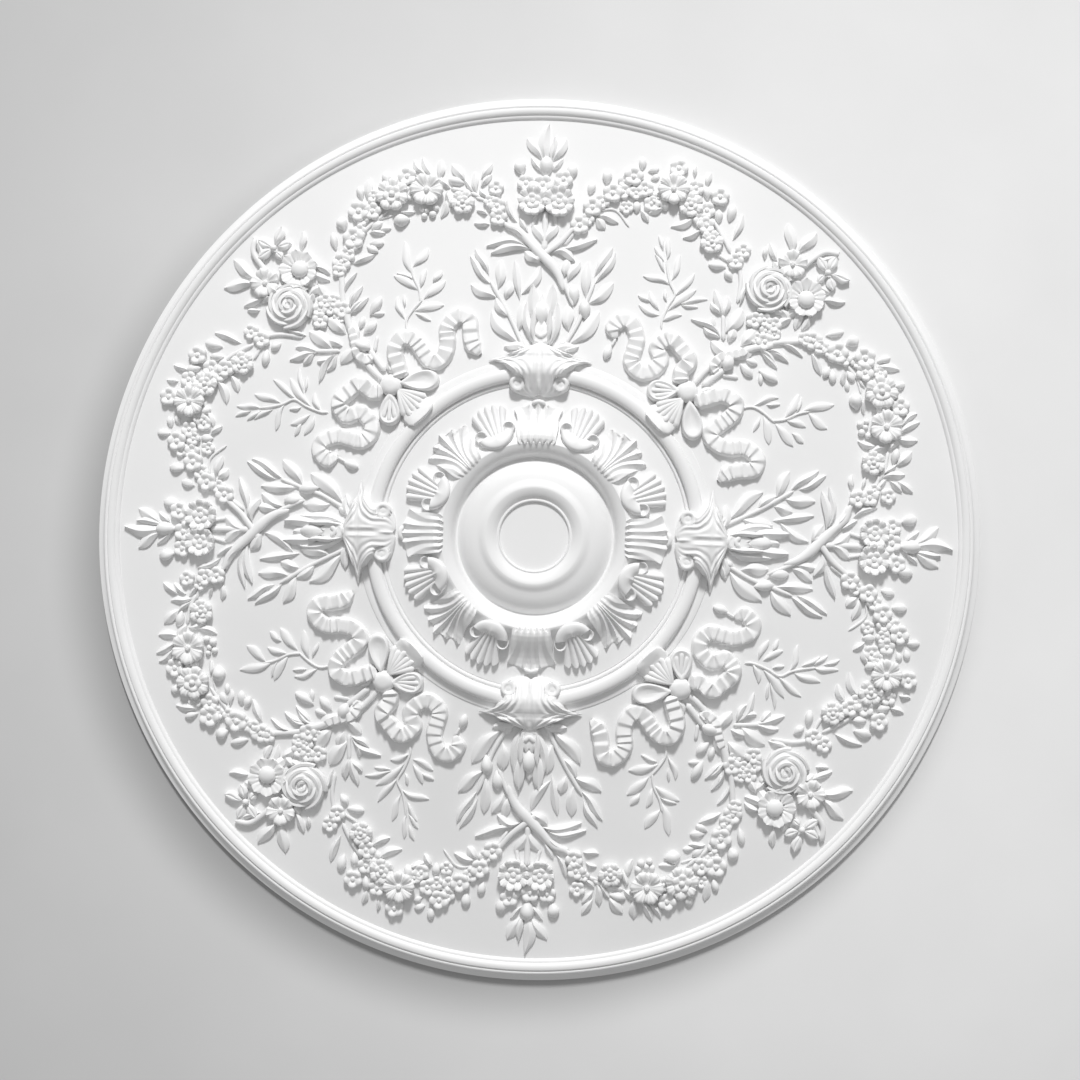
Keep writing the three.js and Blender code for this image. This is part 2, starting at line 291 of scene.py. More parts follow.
# Sections of flowers from the middle to the foot: part of the radius, height as a part of the
# radius, how far a notch between petals cuts in, and how far it dips
BLOSSOM = [
    (0, 0.6, 0, 0), (0.16, 0.58, 0, 0), (0.23, 0.38, 0, 0), (0.32, 0.34, 0, 0.06),
    (0.56, 0.54, 0.03, 0.16), (0.84, 0.64, 0.08, 0.26), (1.02, 0.54, 0.16, 0.28),
    (1.1, 0.3, 0.22, 0.16), (1.06, 0, 0.24, 0), (0.98, -0.3, 0.24, 0),
]
CUP = [
    (0, 0.5, 0, 0), (0.16, 0.48, 0, 0), (0.22, 0.3, 0, 0), (0.34, 0.24, 0, 0),
    (0.6, 0.46, 0.02, 0.06), (0.84, 0.66, 0.05, 0.16), (0.98, 0.66, 0.1, 0.22),
    (1, 0.48, 0.14, 0.16), (0.94, 0.2, 0.1, 0.1), (0.84, -0.2, 0.06, 0),
]
OPEN_FLOWER = [
    (0, 0.44, 0, 0), (0.12, 0.42, 0, 0), (0.17, 0.24, 0, 0), (0.26, 0.24, 0, 0.05),
    (0.55, 0.42, 0.02, 0.16), (0.85, 0.5, 0.08, 0.26), (1, 0.38, 0.16, 0.24),
    (1, 0.16, 0.2, 0.1), (0.92, 0, 0.2, 0), (0.84, -0.25, 0.2, 0),
]
ROSE_BASE = [
    (0, 0.46, 0, 0), (0.35, 0.45, 0, 0), (0.66, 0.38, 0, 0), (0.9, 0.26, 0.04, 0), (1, 0.1, 0.08, 0),
    (0.92, -0.2, 0.08, 0),
]
BUTTON = [(0, 0.95, 0, 0), (0.4, 0.9, 0, 0), (0.8, 0.7, 0.02, 0), (1, 0.35, 0.04, 0), (0.94, -0.2, 0, 0)]
KNOT_SECTION = [
    (0, 0.92, 0, 0), (0.5, 0.86, 0, 0), (0.85, 0.64, 0.04, 0.03), (1, 0.3, 0.06, 0),
    (0.95, -0.2, 0.06, 0),
]
CREST_SECTION = [
    (0, 1.3, 0, 0), (0.3, 1.45, 0, 0), (0.7, 1.35, 0, 0), (1, 0.8, 0, 0), (0.95, -0.3, 0, 0),
]
FLOWER_ROWS = 18
PETAL_COLUMNS = 8


def bloom(form, x, y, radius, section=BLOSSOM, petals=5, lean=(0, 0), lift=0, ripple=0, phase=None):
    """Flower turned about its own axis, with petals cut into it."""
    if phase is None:
        phase = rng.uniform(0, TAU)
    phi = around(petals * PETAL_COLUMNS)
    notch = 1 - np.abs(np.cos(petals / 2 * (phi + phase))) ** 0.7
    rows, _ = smooth_path(section, FLOWER_ROWS)
    part, height, cut, dip = [rows[:, k][:, None] for k in range(4)]
    wave = ripple * part * np.cos(petals * 3 * (phi + phase))
    r = radius * part * (1 - cut * notch + wave * 0.5)
    z = radius * (height - dip * notch + wave)
    raised = np.maximum(z, 0)
    points = [x + r * np.cos(phi) + lean[0] * raised, y + r * np.sin(phi) + lean[1] * raised, z + lift]
    form.lay(np.stack(points, -1), ring=True)


def full_bloom(form, x, y, radius, petals=6):
    """Two layers of petals round a knob."""
    bloom(form, x, y, radius * 1.06, OPEN_FLOWER, petals, lift=radius * 0.12, ripple=0.04)
    bloom(form, x, y, radius * 0.56, BLOSSOM, 5, lift=radius * 0.3)
    ball(form, x, y, radius * 0.2, lift=radius * 0.56)


# Millimetres of path to one row of a bar
RIB_STEP = 2.5


def rib(form, points, width, thickness=0.7, ends=(0.2, 0.2), sides=12):
    """Rounded bar along x, y and height. width is one number or several, ends are parts of it."""
    path, _ = smooth_path(points, max(8, int(length_of(points) / RIB_STEP)))
    side = sideways(path)
    t = np.linspace(0, 1, len(path))
    swell = np.minimum(1, np.minimum(ends[0] + t * 6, ends[1] + (1 - t) * 6))
    swell[[0, -1]] = 0
    widths = np.interp(t, np.linspace(0, 1, np.size(width)), np.atleast_1d(width))
    radius = (widths / 2 * swell)[:, None]
    phi = around(sides)
    x = path[:, :1] + side[:, :1] * radius * np.cos(phi)
    y = path[:, 1:2] + side[:, 1:] * radius * np.cos(phi)
    z = path[:, 2:] + radius * thickness * np.sin(phi)
    form.lay(np.stack([x, y, z], -1), ring=True, flip=True)


def stem(form, width, xy, height=None, thickness=0.8):
    """Thin stem along a flat list of x and y."""
    lift = width * 0.25 if height is None else height
    points = [(x, y, lift) for x, y in zip(xy[::2], xy[1::2])]
    rib(form, points, width, thickness, ends=(0.6, 0.35), sides=10)


def mound(form, outline, levels, centre=None):
    """Form with an outline of its own. levels, from the middle out: part of the outline, height."""
    edge = np.array(outline, float)
    if centre is None:
        centre = edge.mean(0)
    rows = []
    for part, height in levels:
        ring = centre + (edge - centre) * part
        rows.append(np.column_stack([ring, np.full(len(ring), height, float)]))
    form.lay(rows, ring=True)


# Half of a ribbon's section: part of the half width, part of the height, how much the pleats show
RIBBON_HALF = [
    (0, 1, 1), (0.5, 1, 1), (0.97, 1, 1), (1.06, 0.86, 0.7), (1.22, 0.44, 0.1), (1.36, 0.1, 0),
    (1.36, 0, 0),
]
RIBBON_SECTION = [(-part, level, pleated) for part, level, pleated in RIBBON_HALF[:0:-1]] + RIBBON_HALF
RIBBON_STEP = 0.9
# Pleats, as parts: where the crest lies, the depth, and how much wider the ribbon is there
PLEAT_CREST, PLEAT_DEPTH, PLEAT_SPREAD = 0.74, 0.26, 0.16


def ribbon(form, points, width, height, pleat):
    """Standing ribbon with pleats across its top and sides that slope out to its foot."""
    path, length = smooth_path(points, int(length_of(points) / RIBBON_STEP))
    side = sideways(path)
    d = np.linspace(0, length, len(path))
    phase = (d / pleat + 0.3 * np.sin(d / 11) + 0.12 * np.sin(d / 5.3)) % 1
    saw = np.where(phase < PLEAT_CREST, phase / PLEAT_CREST, (1 - phase) / (1 - PLEAT_CREST))[:, None]
    taper = np.minimum(1, np.minimum(d / 8 + 0.4, (length - d) / 14 + 0.25))
    s, level, pleated = np.array(RIBBON_SECTION, float).T[:, None, :]
    half = (width / 2 * taper)[:, None] * (1 + PLEAT_SPREAD * (saw - 0.5) * pleated)
    lift = ((height + path[:, 2]) * np.minimum(1, taper + 0.2))[:, None]
    z = lift * level * (1 - PLEAT_DEPTH * pleated * (1 - saw))
    z[:, [0, -1]] = SINK
    x = path[:, :1] + side[:, :1] * s * half
    y = path[:, 1:2] + side[:, 1:] * s * half
    form.lay(np.stack([x, y, z], -1))


PETAL_TWIST, PETAL_THICKNESS = 0.1, 2.6


def petal(form, x, y, radius, angle, span, foot, top, flare):
    """Curved petal that stands round a rose's middle; one end lies inside its neighbour."""
    s = np.linspace(-1, 1, 15)
    a = angle + span * s
    drop = 1 - 0.3 * np.abs(s) ** 2.5
    outside = [(0, foot), (0.5, foot + (top - foot) * 0.6), (1, top)]
    inside = [(1, top - 0.4), (0.5, foot + (top - foot) * 0.45), (0, foot)]
    sheet = []
    for rows, inset in ((outside, 0), (inside, PETAL_THICKNESS)):
        for part, height in rows:
            r = radius * (1 + flare * part**2) * (1 - PETAL_TWIST * s) - inset
            z = foot + (height - foot) * drop
            sheet.append(np.stack([x + r * np.cos(a), y + r * np.sin(a), z], -1))
    form.lay(sheet, flip=True)


# Rings of petals of a rose: part of the radius, petals, foot, top, flare, half span; and how far each
# ring is turned from the one outside it
ROSE_RINGS = [
    (1, 5, 0, 9, -0.06, 0.84), (0.76, 4, 1, 12, -0.12, 1.02), (0.5, 3, 3, 14.5, -0.18, 1.3),
    (0.26, 2, 5, 14, -0.2, 1.6),
]
ROSE_STEP = 0.7


def rose_flower(form, x, y, radius):
    """Full rose: rings of petals that get higher towards the middle."""
    bloom(form, x, y, radius, ROSE_BASE, 5, phase=0.4)
    for k, (part, count, foot, top, flare, span) in enumerate(ROSE_RINGS):
        for i in range(count):
            petal(form, x, y, radius * part, TAU * i / count + k * ROSE_STEP, span, foot, top, flare)
    ball(form, x, y, radius * 0.1, lift=9)


DAISY_PETALS = 9
DAISY_LOOK = dict(bend=0, relief=3, lift=2.5, tip=1, groove=0.5, blunt=0.8, rise=5)


def daisy_flower(form, x, y, radius):
    """Open flower with separate petals that rise round a broad button."""
    for i in range(DAISY_PETALS):
        a = TAU * i / DAISY_PETALS + 0.17
        inner, outer = radius * 0.25, radius * rng.uniform(0.96, 1.06)
        ends = [(x + r * math.cos(a), y + r * math.sin(a)) for r in (inner, outer)]
        leaf(form, *ends[0], *ends[1], radius * 0.66, **DAISY_LOOK)
    bloom(form, x, y - 2, radius * 0.46, BUTTON, 8, lift=4)


def leaves(form, rows, **look):
    for row in rows:
        leaf(form, *row, **look)


def buds(form, rows):
    for row in rows:
        bud(form, *row)


def stems(form, rows, **look):
    for width, xy in rows:
        stem(form, width, xy, **look)


# Layout of a quarter. Leaves and buds: x and y of root and tip, the width and, for a leaf where it
# isn't left to chance, the bend. Stems: the width, then x and y along it. Flowers: x, y and radius
AXIS_LEAVES = [
    (-5, 404, -23, 429, 11.5), (5, 404, 20, 430, 12), (-4, 392, -18, 408, 6), (5, 394, 17, 407, 6),
    (-1, 310, -14, 334, 11, -0.12), (1, 310, 14, 334, 11, 0.12),
]
AXIS_TOP_LEAVES = [(-1, 402, 1, 445, 13.5, 0.1), (4, 404, 7, 432, 8, -0.05)]
AXIS_BUDS = [(-1, 386, -1, 410, 16), (-27, 388, -31, 405, 13), (25, 384, 28, 402, 12)]
AXIS_BLOSSOMS = [(-22, 379, 9), (18, 384, 9.5), (-4, 378, 10), (9, 374, 8)]
AXIS_CUPS = [(-14, 358, 16), (14, 358, 17)]
AXIS_STEMS = [(6.5, [0, 305, 0, 350]), (4, [-14, 330, -8, 352]), (4, [12, 330, 8, 352])]
CROSSING_STEMS = [
    (
        [5, 8.5, 11.5, 10.5, 8, 6.5, 5.5],
        [22, 262, 17, 277, 9, 289, -3, 301, -14, 312, -28, 327, -39, 331, -48, 338],
    ),
    ([6, 5, 4, 3.4], [8, 288, 15, 280, 23, 268, 33, 245]),
    ([7, 6.4, 5.4, 4.6], [-11, 293, 7, 307, 18, 316, 29, 329, 37, 336]),
]
CROSSING_LEAVES = [
    (-14, 307, -57, 301, 9.5, -0.1), (-18, 309, -62, 309, 6.5, -0.13), (-19, 315, -43, 330, 6.5, -0.12),
    (16, 308, 56, 319, 8, -0.06), (8, 303, 33, 295, 10.5, 0.2), (-3, 292, -21, 304, 11, 0.05),
]
LAUREL_STEMS = [
    (4.3, [-17, 198, -34, 233, -46, 254, -57, 272]), (4.3, [24, 202, 38, 227, 45, 247, 55, 274]),
]
LAUREL_LEAVES = [
    (-23, 203, -54, 239, 11.5, 0.08), (-48, 253, -77, 267, 10.5, 0.05), (-56, 268, -79, 298, 7, 0.04),
    (-58, 277, -74, 306, 7, -0.04), (-48, 262, -46, 295, 10, -0.05), (-39, 251, -34, 271, 9, 0),
    (-35, 233, -50, 253, 8.5, 0.1), (-25, 217, -19, 250, 11.5, -0.05), (-24, 250, -31, 294, 7.5, 0),
    (-23, 257, -3, 289, 8.6, -0.1), (30, 205, 61, 241, 13.5, -0.08), (48, 249, 75, 272, 11, -0.06),
    (55, 271, 76, 306, 7, -0.05), (54, 278, 73, 311, 7, 0.03), (46, 254, 47, 295, 9.5, 0.03),
    (26, 271, 39, 294, 9, 0.08), (22, 276, 25, 298, 8.5, 0), (29, 218, 27, 247, 11.5, 0.02),
    (-19, 196, -29, 202, 5, 0), (23, 196, 40, 202, 6, 0),
]
LAUREL_BUDS = [(34, 247, 32, 269, 12), (46, 231, 44, 253, 13), (19, 200, 26, 209, 7)]
SPRIG_STEMS = [
    (2.6, [127, 224, 127, 233, 133, 249, 140, 262, 135, 274, 132, 286, 130, 302]),
    (2.6, [204, 137, 217, 143, 227, 144, 238, 138, 250, 128]),
    (2.6, [246, 130, 260, 132, 275, 139, 288, 142]),
]
SPRIG_LEAVES = [
    (127, 309, 121, 326, 4.5), (130, 298, 132, 325, 5.5), (128, 298, 117, 313, 4.5),
    (129, 285, 118, 305, 4.5), (136, 277, 145, 306, 7), (135, 272, 106, 281, 6.5, -0.08),
    (140, 260, 161, 286, 6), (133, 244, 163, 268, 7.8, 0.05), (145, 252, 175, 258, 4.5),
    (147, 251, 165, 249, 3.6), (132, 254, 129, 267, 4), (124, 244, 113, 265, 6.3, 0.06),
    (115, 253, 101, 260, 5), (124, 239, 102, 250, 6.3, 0.08), (127, 233, 148, 240, 6, 0.1),
    (228, 146, 253, 155, 5.6, 0.1), (240, 147, 255, 148, 3.5), (234, 135, 227, 118, 4.2),
    (237, 136, 244, 105, 8.7, 0.05), (250, 127, 270, 104, 9), (268, 118, 281, 108, 6.5),
    (262, 131, 283, 125, 6.5, 0.05), (260, 133, 275, 160, 8.7, -0.06), (272, 139, 278, 157, 3.6),
    (277, 140, 313, 150, 8.7, 0.06), (285, 140, 306, 124, 9, -0.05),
]
TIE_STEMS = [
    (6.5, [161, 165, 172, 178, 184, 190]), (6.5, [171, 164, 182, 173, 196, 184]),
    (4, [192, 177, 210, 175]), (4.5, [193, 214, 192, 243]), (8, [203, 196, 222, 206, 240, 210]),
]
TIE_LEAVES = [
    (166, 153, 183, 162, 6.5, 0.1), (196, 193, 176, 187, 13, 0.12), (200, 200, 179, 213, 12, 0.1),
    (203, 195, 226, 209, 12, -0.08), (191, 238, 182, 269, 9), (192, 238, 196, 263, 8.5),
    (190, 242, 178, 254, 7.5), (194, 222, 213, 249, 15, -0.06), (190, 218, 158, 236, 7, -0.12),
    (182, 224, 181, 239, 6), (190, 217, 171, 228, 6.5, 0.1), (198, 212, 204, 229, 10),
    (211, 209, 228, 230, 15, -0.06), (229, 208, 249, 189, 5.5, 0.1), (238, 206, 262, 194, 6, 0.12),
]
TIE_BUDS = [
    (216, 195, 230, 190, 7.4), (211, 190, 225, 176, 9.4), (231, 184, 252, 172, 10.4),
    (233, 182, 234, 168, 5.6),
]
CLUSTER_BLOSSOMS = [
    (225, 237, 8.5), (236, 238, 7.5), (246, 233, 8), (238, 226, 7), (247, 223, 7), (237, 214, 9),
    (228, 217, 6.5),
]
BOUQUET_ROSE = (241, 271, 24.5)
BOUQUET_DAISY = (280, 263, 20.5)
BOUQUET_LEAVES = [
    (264, 310, 260, 345, 12.5), (270, 311, 291, 336, 12.5), (236, 304, 236, 318, 5.5),
    (300, 262, 323, 261, 8), (275, 257, 261, 243, 11.5, 0.08), (279, 253, 269, 229, 9),
    (266, 242, 250, 231, 9.5), (286, 302, 316, 316, 8, -0.1), (250, 300, 240, 322, 8),
    (256, 245, 244, 250, 8), (284, 246, 276, 229, 8, 0.1), (250, 252, 262, 236, 9, 0.1),
    (292, 276, 306, 270, 9), (252, 292, 244, 302, 8),
]
BOUQUET_STEMS = [(6, [274, 294, 287, 306, 300, 314, 316, 312])]
BOUQUET_PETALS = [
    (303, 292, 292, 308, 11), (304, 293, 312, 309, 11), (307, 290, 327, 284, 11),
    (305, 288, 309, 273, 11), (300, 289, 292, 282, 9),
]
BOUQUET_BLOSSOM = (265, 299, 16)
BOUQUET_BALL = (303, 291, 3.6)
UPPER_STEMS = [
    (4.5, [21, 312, 37, 335, 50, 354, 71, 371, 93, 377, 116, 377]), (2.6, [58, 352, 75, 352, 90, 334]),
    (4.4, [177, 347, 189, 329, 199, 309]), (3.8, [182, 309, 201, 298]),
    (4.4, [208, 296, 210, 278, 207, 255]),
]
UPPER_LEAVES = [
    (53, 343, 64, 331, 10.5), (55, 345, 78, 338, 9, 0.08), (101, 353, 110, 340, 7),
    (158, 391, 160, 404, 4.6), (171, 381, 176, 397, 7), (200, 323, 211, 353, 7.8),
    (162, 350, 134, 336, 9.5, 0.12), (167, 334, 147, 324, 8.5, 0.08), (209, 252, 216, 273, 5.2),
    (126, 356, 110, 350, 8),
]
UPPER_BUDS = [
    (46, 368, 50, 383, 9), (64, 380, 65, 397, 10.5), (102, 397, 102, 412, 8.5), (108, 396, 120, 400, 7.5),
    (111, 387, 121, 392, 7), (97, 349, 97, 363, 9), (123, 367, 129, 353, 10.5), (173, 366, 171, 382, 9.5),
    (196, 343, 201, 363, 10.5), (185, 341, 185, 357, 9.5), (194, 294, 175, 296, 9.5),
    (201, 279, 193, 290, 9),
]
UPPER_BLOSSOMS = [
    (37, 334, 9.7), (45, 341, 7), (50, 354, 9.7), (60, 361, 8), (71, 370, 10), (82, 372, 8),
    (93, 389, 10), (84, 384, 7.5), (106, 376, 8.5), (86, 355, 7), (113, 360, 8.5), (141, 400, 9.5),
    (172, 355, 9), (160, 379, 8.5), (186, 370, 9.5), (172, 338, 9), (204, 300, 8.5), (212, 312, 8),
    (166, 344, 8), (120, 366, 7), (96, 371, 7),
]
UPPER_OPEN_FLOWER = (136, 376, 17)
UPPER_FULL_BLOOMS = [(155, 360, 13), (178, 320, 12)]
RIGHT_STEMS = [
    (6.2, [219, 204, 231, 208, 249, 214, 281, 217]), (3.8, [299, 210, 324, 194, 346, 169]),
    (2.4, [337, 178, 342, 163]), (4.2, [372, 103, 369, 84, 363, 70]), (3.4, [363, 76, 358, 60]),
    (4, [304, 1, 320, 16, 332, 34, 334, 47]),
]
RIGHT_LEAVES = [
    (254, 213, 278, 200, 5, 0.1), (233, 205, 251, 186, 6.5), (242, 204, 263, 193, 7, 0.08),
    (357, 193, 383, 190, 9), (287, 205, 298, 181, 8), (322, 189, 322, 171, 6), (345, 158, 345, 140, 4.6),
    (385, 129, 403, 144, 7, 0.1), (382, 121, 406, 135, 8), (381, 116, 404, 115, 9.4, -0.06),
    (372, 103, 383, 119, 8.5), (361, 107, 339, 112, 8, 0.1), (371, 106, 351, 102, 7),
    (381, 87, 398, 103, 11), (367, 77, 382, 89, 5), (366, 74, 391, 78, 8), (374, 71, 388, 59, 7),
    (383, 71, 400, 59, 8.4), (360, 62, 371, 72, 5.4), (333, 59, 334, 76, 7), (344, 62, 348, 74, 4),
    (336, 30, 362, 42, 6, 0.1), (322, 17, 341, 28, 5.4),
]
RIGHT_BUDS = [
    (302, 224, 322, 229, 8.6), (324, 215, 338, 222, 12.5), (358, 198, 373, 203, 8.4),
    (307, 191, 301, 178, 8.6), (310, 188, 311, 172, 8.6), (326, 187, 334, 175, 8),
    (326, 177, 327, 165, 6), (376, 171, 389, 175, 9.4), (337, 145, 335, 163, 15), (378, 88, 382, 106, 10),
]
RIGHT_BLOSSOMS = [
    (280, 219, 7.5), (289, 217, 9.6), (297, 211, 8), (306, 208, 7.5), (315, 205, 11.2), (323, 199, 7.5),
    (345, 201, 11), (336, 197, 7), (345, 186, 9.2), (384, 150, 9.6), (376, 158, 7), (373, 54, 8),
    (353, 52, 9), (340, 50, 9), (358, 60, 6.5), (362, 186, 7), (366, 146, 7.5),
]
RIGHT_BALLS = [(341, 130, 3.4), (348, 133, 3), (347, 127, 3), (343, 121, 4), (350, 118, 3.7)]
POPPY = (369, 128, 18)
RIGHT_LARGE_BLOOM = (363, 165, 17)
RIGHT_SMALL_BLOOM = (356, 89, 12.5)
# Ribbons of a bow: x, y and how far the top is lifted
RIBBON_A = [
    (149, 165, 5), (149, 178, 3), (157, 190, 5), (150, 201, 2), (137, 213, 4), (123, 204, 0),
    (127, 190, 0), (117, 178, 0), (105, 177, 0), (96, 187, 0), (99, 201, 0), (101, 214, 0), (95, 229, 0),
    (85, 232, 0), (76, 223, 0), (79, 212, 0),
]
RIBBON_B = [
    (163, 146, 4), (178, 151, 3), (194, 155, 3), (207, 148, 2), (206, 137, 1), (197, 128, 0),
    (184, 118, 0), (182, 110, 0), (190, 102, 0), (203, 99, 0), (218, 100, 0), (229, 93, 0), (232, 85, 0),
    (227, 77, 0), (212, 75, 0), (201, 72, 0), (191, 64, 0),
]
RIBBON_WIDTH = 13.4


def small_bouquet(form):
    leaves(form, AXIS_LEAVES)
    leaves(form, AXIS_TOP_LEAVES, relief=7, tip=0.6, blunt=0)
    stems(form, AXIS_STEMS)
    for x, y, r in AXIS_BLOSSOMS:
        bloom(form, x, y, r, lift=1)
    for x, y, r in AXIS_CUPS:
        bloom(form, x, y, r, CUP, 10, lean=(0, 0.1), ripple=0.03)
        bloom(form, x, y + 1, r * 0.5, BLOSSOM, 5, lift=r * 0.22)
    buds(form, AXIS_BUDS)


def crossing(form):
    leaves(form, CROSSING_LEAVES, lift=1)
    stems(form, CROSSING_STEMS, height=3.5, thickness=0.62)


# The laurels' leaves are made this much broader than their rows say
LAUREL_FULLNESS = 1.14


def laurels(form):
    stems(form, LAUREL_STEMS)
    for x0, y0, x1, y1, width, bend in LAUREL_LEAVES:
        leaf(form, x0, y0, x1, y1, width * LAUREL_FULLNESS, bend, relief=5.6)
    buds(form, LAUREL_BUDS)
    husk(form)


# The husk's ears on one side, and the petal behind its knob: leaves with bend, relief, lift and tip
HUSK_EARS = [
    (6, 199, 16, 250, 10, -0.08, 7, 1, 0.5), (3.5, 222, 10.5, 268, 12, -0.06, 7, 1, 0.7),
    (6.5, 204, 9, 240, 6, -0.03, 5, 7, 0.8),
]
HUSK_PETAL = (0, 226, 0, 258, 10, 0, 4, 1, 0.6)
# Lips of the cup: half width, y, height
HUSK_LIPS = [(8.2, 205, 6), (6, 212, 8)]
HUSK_CUP = [
    (-9, 205), (-5, 201), (0, 200), (5, 201), (9, 205), (10, 215), (11, 228), (6, 223), (3, 229),
    (0, 223), (-3, 229), (-6, 223), (-11, 228), (-10, 215),
]
HUSK_CUP_LEVELS = [(0, 7.5), (0.5, 7.5), (0.9, 7), (1, 5.5), (1.02, 2), (1.02, SINK)]
HUSK_KNOB = (0, 222, 0, 250, 15)


def on_side(side, x0, y0, x1, y1, width, bend, *look):
    """Row of a leaf, mirrored by a side of -1."""
    return side * x0, y0, side * x1, y1, width, side * bend, *look


def husk(form):
    """Open seed husk: long ears, a petal behind a knob, and a cup with a cut lip in front."""
    for side in (-1, 1):
        for row in HUSK_EARS:
            leaf(form, *on_side(side, *row))
    leaf(form, *HUSK_PETAL)
    for half, y, height in HUSK_LIPS:
        rib(form, [(-half, y + 4, height), (0, y - 1, height), (half, y + 4, height)], 5)
    mound(form, HUSK_CUP, HUSK_CUP_LEVELS, (0, 214))
    bud(form, *HUSK_KNOB, lift=3.5)


def sprigs(form):
    stems(form, SPRIG_STEMS)
    leaves(form, SPRIG_LEAVES, relief=4, groove=0.2)


# Knot of the tie, and the path of the band round it
TIE_KNOT = (202, 200, 195, 181, 13)
TIE_BAND = [(188, 178, 0), (183, 186, 2), (190, 195, 3), (201, 198, 3), (214, 202, 2), (222, 208, 0)]


def tie(form):
    stems(form, TIE_STEMS)
    leaves(form, TIE_LEAVES, relief=6.5)
    buds(form, TIE_BUDS)
    bud(form, *TIE_KNOT, lift=4.5, seams=4)
    ribbon(form, TIE_BAND, width=8, height=5, pleat=7)


def diagonal_bouquet(form):
    leaves(form, BOUQUET_LEAVES, relief=7)
    stems(form, BOUQUET_STEMS, height=4)
    for x, y, r in CLUSTER_BLOSSOMS:
        bloom(form, x, y, r, lift=0.5)
    leaves(form, BOUQUET_PETALS, relief=6, lift=2.5, tip=0.8, groove=0.45)
    ball(form, *BOUQUET_BALL, lift=7)
    bloom(form, *BOUQUET_BLOSSOM, OPEN_FLOWER, 5, ripple=0.06, lift=2)
    rose_flower(form, *BOUQUET_ROSE)
    daisy_flower(form, *BOUQUET_DAISY)


def garland(form, stem_rows, leaf_rows, bud_rows, blossoms):
    stems(form, stem_rows)
    leaves(form, leaf_rows)
    buds(form, bud_rows)
    for x, y, r in blossoms:
        bloom(form, x, y, r, lift=rng.uniform(-0.5, 1.5))


def upper_garland(form):
    garland(form, UPPER_STEMS, UPPER_LEAVES, UPPER_BUDS, UPPER_BLOSSOMS)
    bloom(form, *UPPER_OPEN_FLOWER, OPEN_FLOWER, 8, lift=4, ripple=0.04)
    for row in UPPER_FULL_BLOOMS:
        full_bloom(form, *row)


def right_garland(form):
    garland(form, RIGHT_STEMS, RIGHT_LEAVES, RIGHT_BUDS, RIGHT_BLOSSOMS)
    for row in RIGHT_BALLS:
        ball(form, *row)
    full_bloom(form, *RIGHT_LARGE_BLOOM, petals=7)
    bloom(form, *POPPY, OPEN_FLOWER, 6, ripple=0.05, lift=3)
    full_bloom(form, *RIGHT_SMALL_BLOOM)


# Loops of a bow: x and y of root and tip, width; and how far out the middle of their hollow lies
LOOPS = [(150, 158, 113, 157, 27), (158, 150, 164, 106, 26)]
LOOP_LEVELS = [
    (0, 5), (0.3, 5.2), (0.52, 6.2), (0.7, 7.8), (0.82, 8.2), (0.91, 7.2), (0.97, 4.8), (1, 1.5),
    (1, SINK),
]
LOOP_MIDDLE = 0.62
LOOP_FOLDS = [(120, 164), (116, 157.5), (120, 151)]
# Fan of folds between the loops
HEM = [
    (150, 148), (118, 142), (112.5, 136), (112.5, 130), (118, 123), (126, 115), (132, 111), (138, 111),
    (144, 117), (151, 138),
]
HEM_LEVELS = [(0, 5), (0.5, 5), (0.9, 4.8), (0.98, 3.6), (1, 1.5), (1, SINK)]
FAN_FOLDS, FAN_START, FAN_STEP = 6, -164, 12
FAN_X, FAN_Y = 152, 150
BOW_KNOT = (156, 157, 12)
# End of the upper ribbon
TAIL = [(79, 212, 2), (76, 207, 2), (74, 203, 2)]
TAIL_BUD = (74, 206, 68, 189, 9.5)


def teardrop(x0, y0, x1, y1, width):
    """Outline with its point at the root and its round end at the tip."""
    phi = around(40)[0]
    length = math.hypot(x1 - x0, y1 - y0)
    along = length * (1 - np.cos(phi)) / 2
    across = width / 2 * np.sin(phi) * np.sin(phi / 2) ** 0.9 * 1.12
    return placed(along, across, 0 * phi, x0, y0, x1, y1)[:, :2][::-1]


def bows(form):
    ribbon(form, RIBBON_A, RIBBON_WIDTH, height=6.4, pleat=9)
    ribbon(form, RIBBON_B, RIBBON_WIDTH, height=7, pleat=9.5)
    rib(form, TAIL, 2.6)
    bud(form, *TAIL_BUD)
    for x0, y0, x1, y1, width in LOOPS:
        centre = np.array([x0 + (x1 - x0) * LOOP_MIDDLE, y0 + (y1 - y0) * LOOP_MIDDLE])
        mound(form, teardrop(x0, y0, x1, y1, width), LOOP_LEVELS, centre)
    for x, y in LOOP_FOLDS:
        path = [(150, 157, 5), (136, 0.5 * (157 + y), 6.4), (x, y, 6.6)]
        rib(form, path, [2.4, 4, 5], thickness=0.6, ends=(0.5, 0.5))
    mound(form, HEM, HEM_LEVELS)
    for k in range(FAN_FOLDS):
        a = math.radians(FAN_START + k * FAN_STEP)
        reaches = (16, 31 + 2 * (k % 2))
        middle, tip = [(FAN_X + r * math.cos(a), FAN_Y + r * math.sin(a)) for r in reaches]
        rib(form, [(151, 149, 7), (*middle, 7), (*tip, 4.5)], [3, 5.5, 7], thickness=0.8, ends=(0.5, 0.8))
    bloom(form, *BOW_KNOT, KNOT_SECTION, 4)


